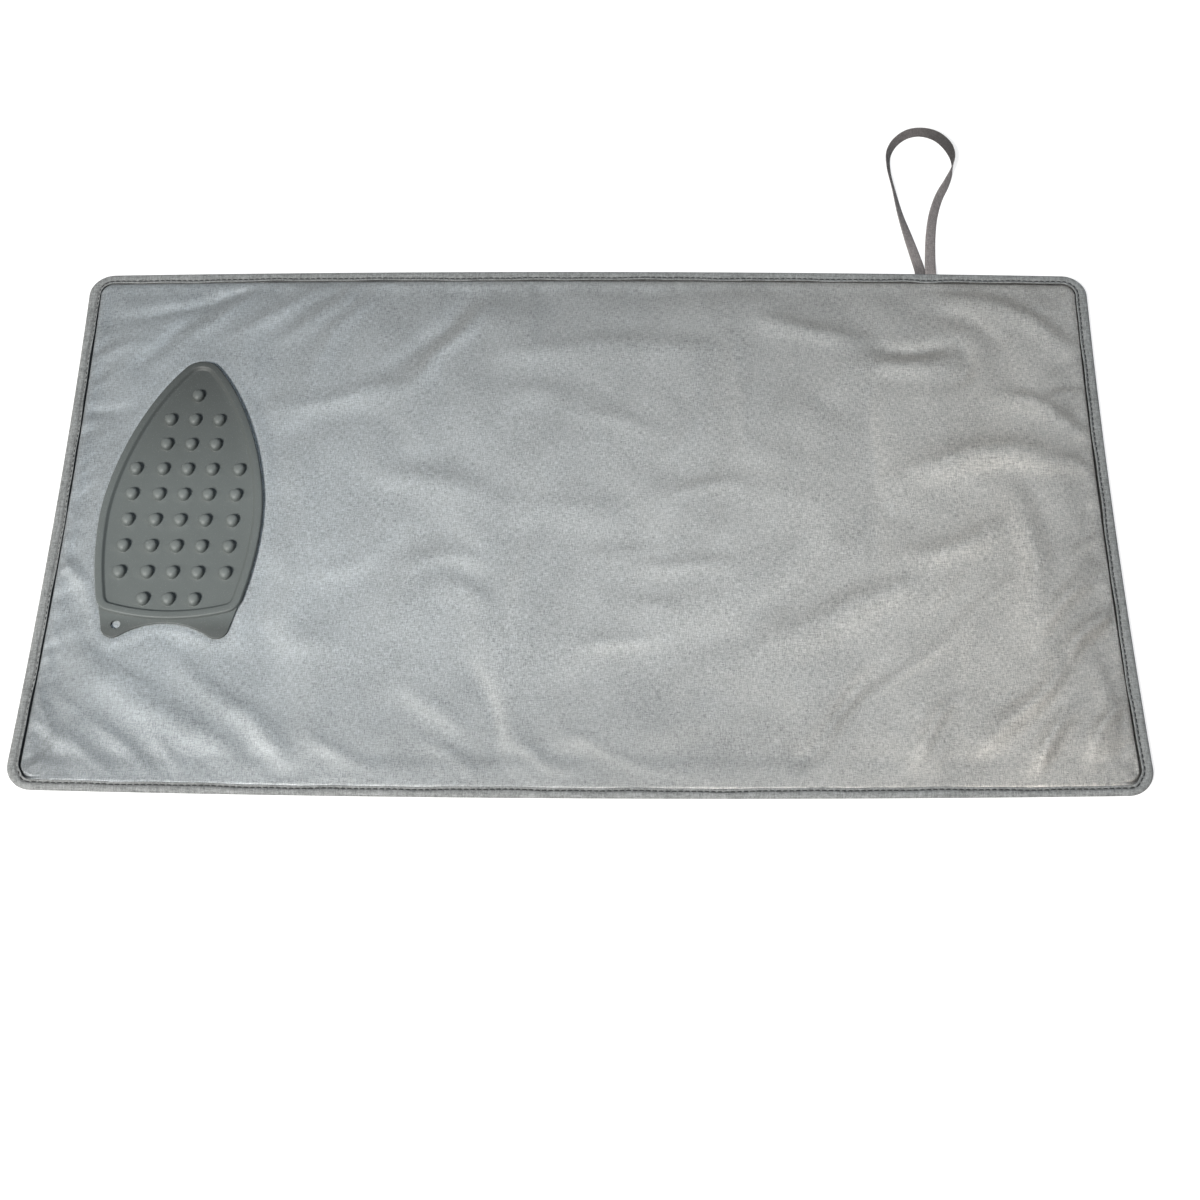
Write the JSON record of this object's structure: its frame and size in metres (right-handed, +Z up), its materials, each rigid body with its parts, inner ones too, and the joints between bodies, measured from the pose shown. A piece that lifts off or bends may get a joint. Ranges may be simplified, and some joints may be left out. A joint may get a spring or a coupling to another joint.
{
  "type": "ironing pad",
  "caption": "Padded table-top ironing mat of metallised cloth over wadding, bound all round, with a tape hanging loop and a loose nubbed silicone rest for the hot iron.",
  "frame": {"origin": "middle of the pad's flat underside", "axes": "+X along the pad's length, towards the end with the hanging loop; +Y across the pad, towards the long edge that carries the loop; +Z up"},
  "size_m": [0.8986, 0.6765, 0.0159],
  "materials": {
    "face": "metallised plain weave, soft sheen",
    "wadding": "needled felt",
    "back": "matt plain weave",
    "binding": "matt woven tape",
    "thread": "spun polyester",
    "tape": "matt woven tape",
    "silicone": "moulded, matt"
  },
  "bodies": {
    "pad": {"back_cloth": "back", "wadding": "wadding", "face_cloth": "face", "edge_binding": "binding", "needle_thread": "thread", "bobbin_thread": "thread"},
    "loop": {"hanging_loop": "tape"},
    "rest": {"iron_rest": "silicone"}
  },
  "joints": [
    {"name": "loop_swing", "type": "hinge", "parent": "pad", "child": "loop", "pos_m": [0.307, 0.255, 0.0031], "axis": [1, 0, 0], "range_deg": [-120, 120]},
    {"name": "rest_lift", "type": "slide", "parent": "pad", "child": "rest", "axis": [0, 0, 1], "range_m": [0, 0.12]}
  ]
}
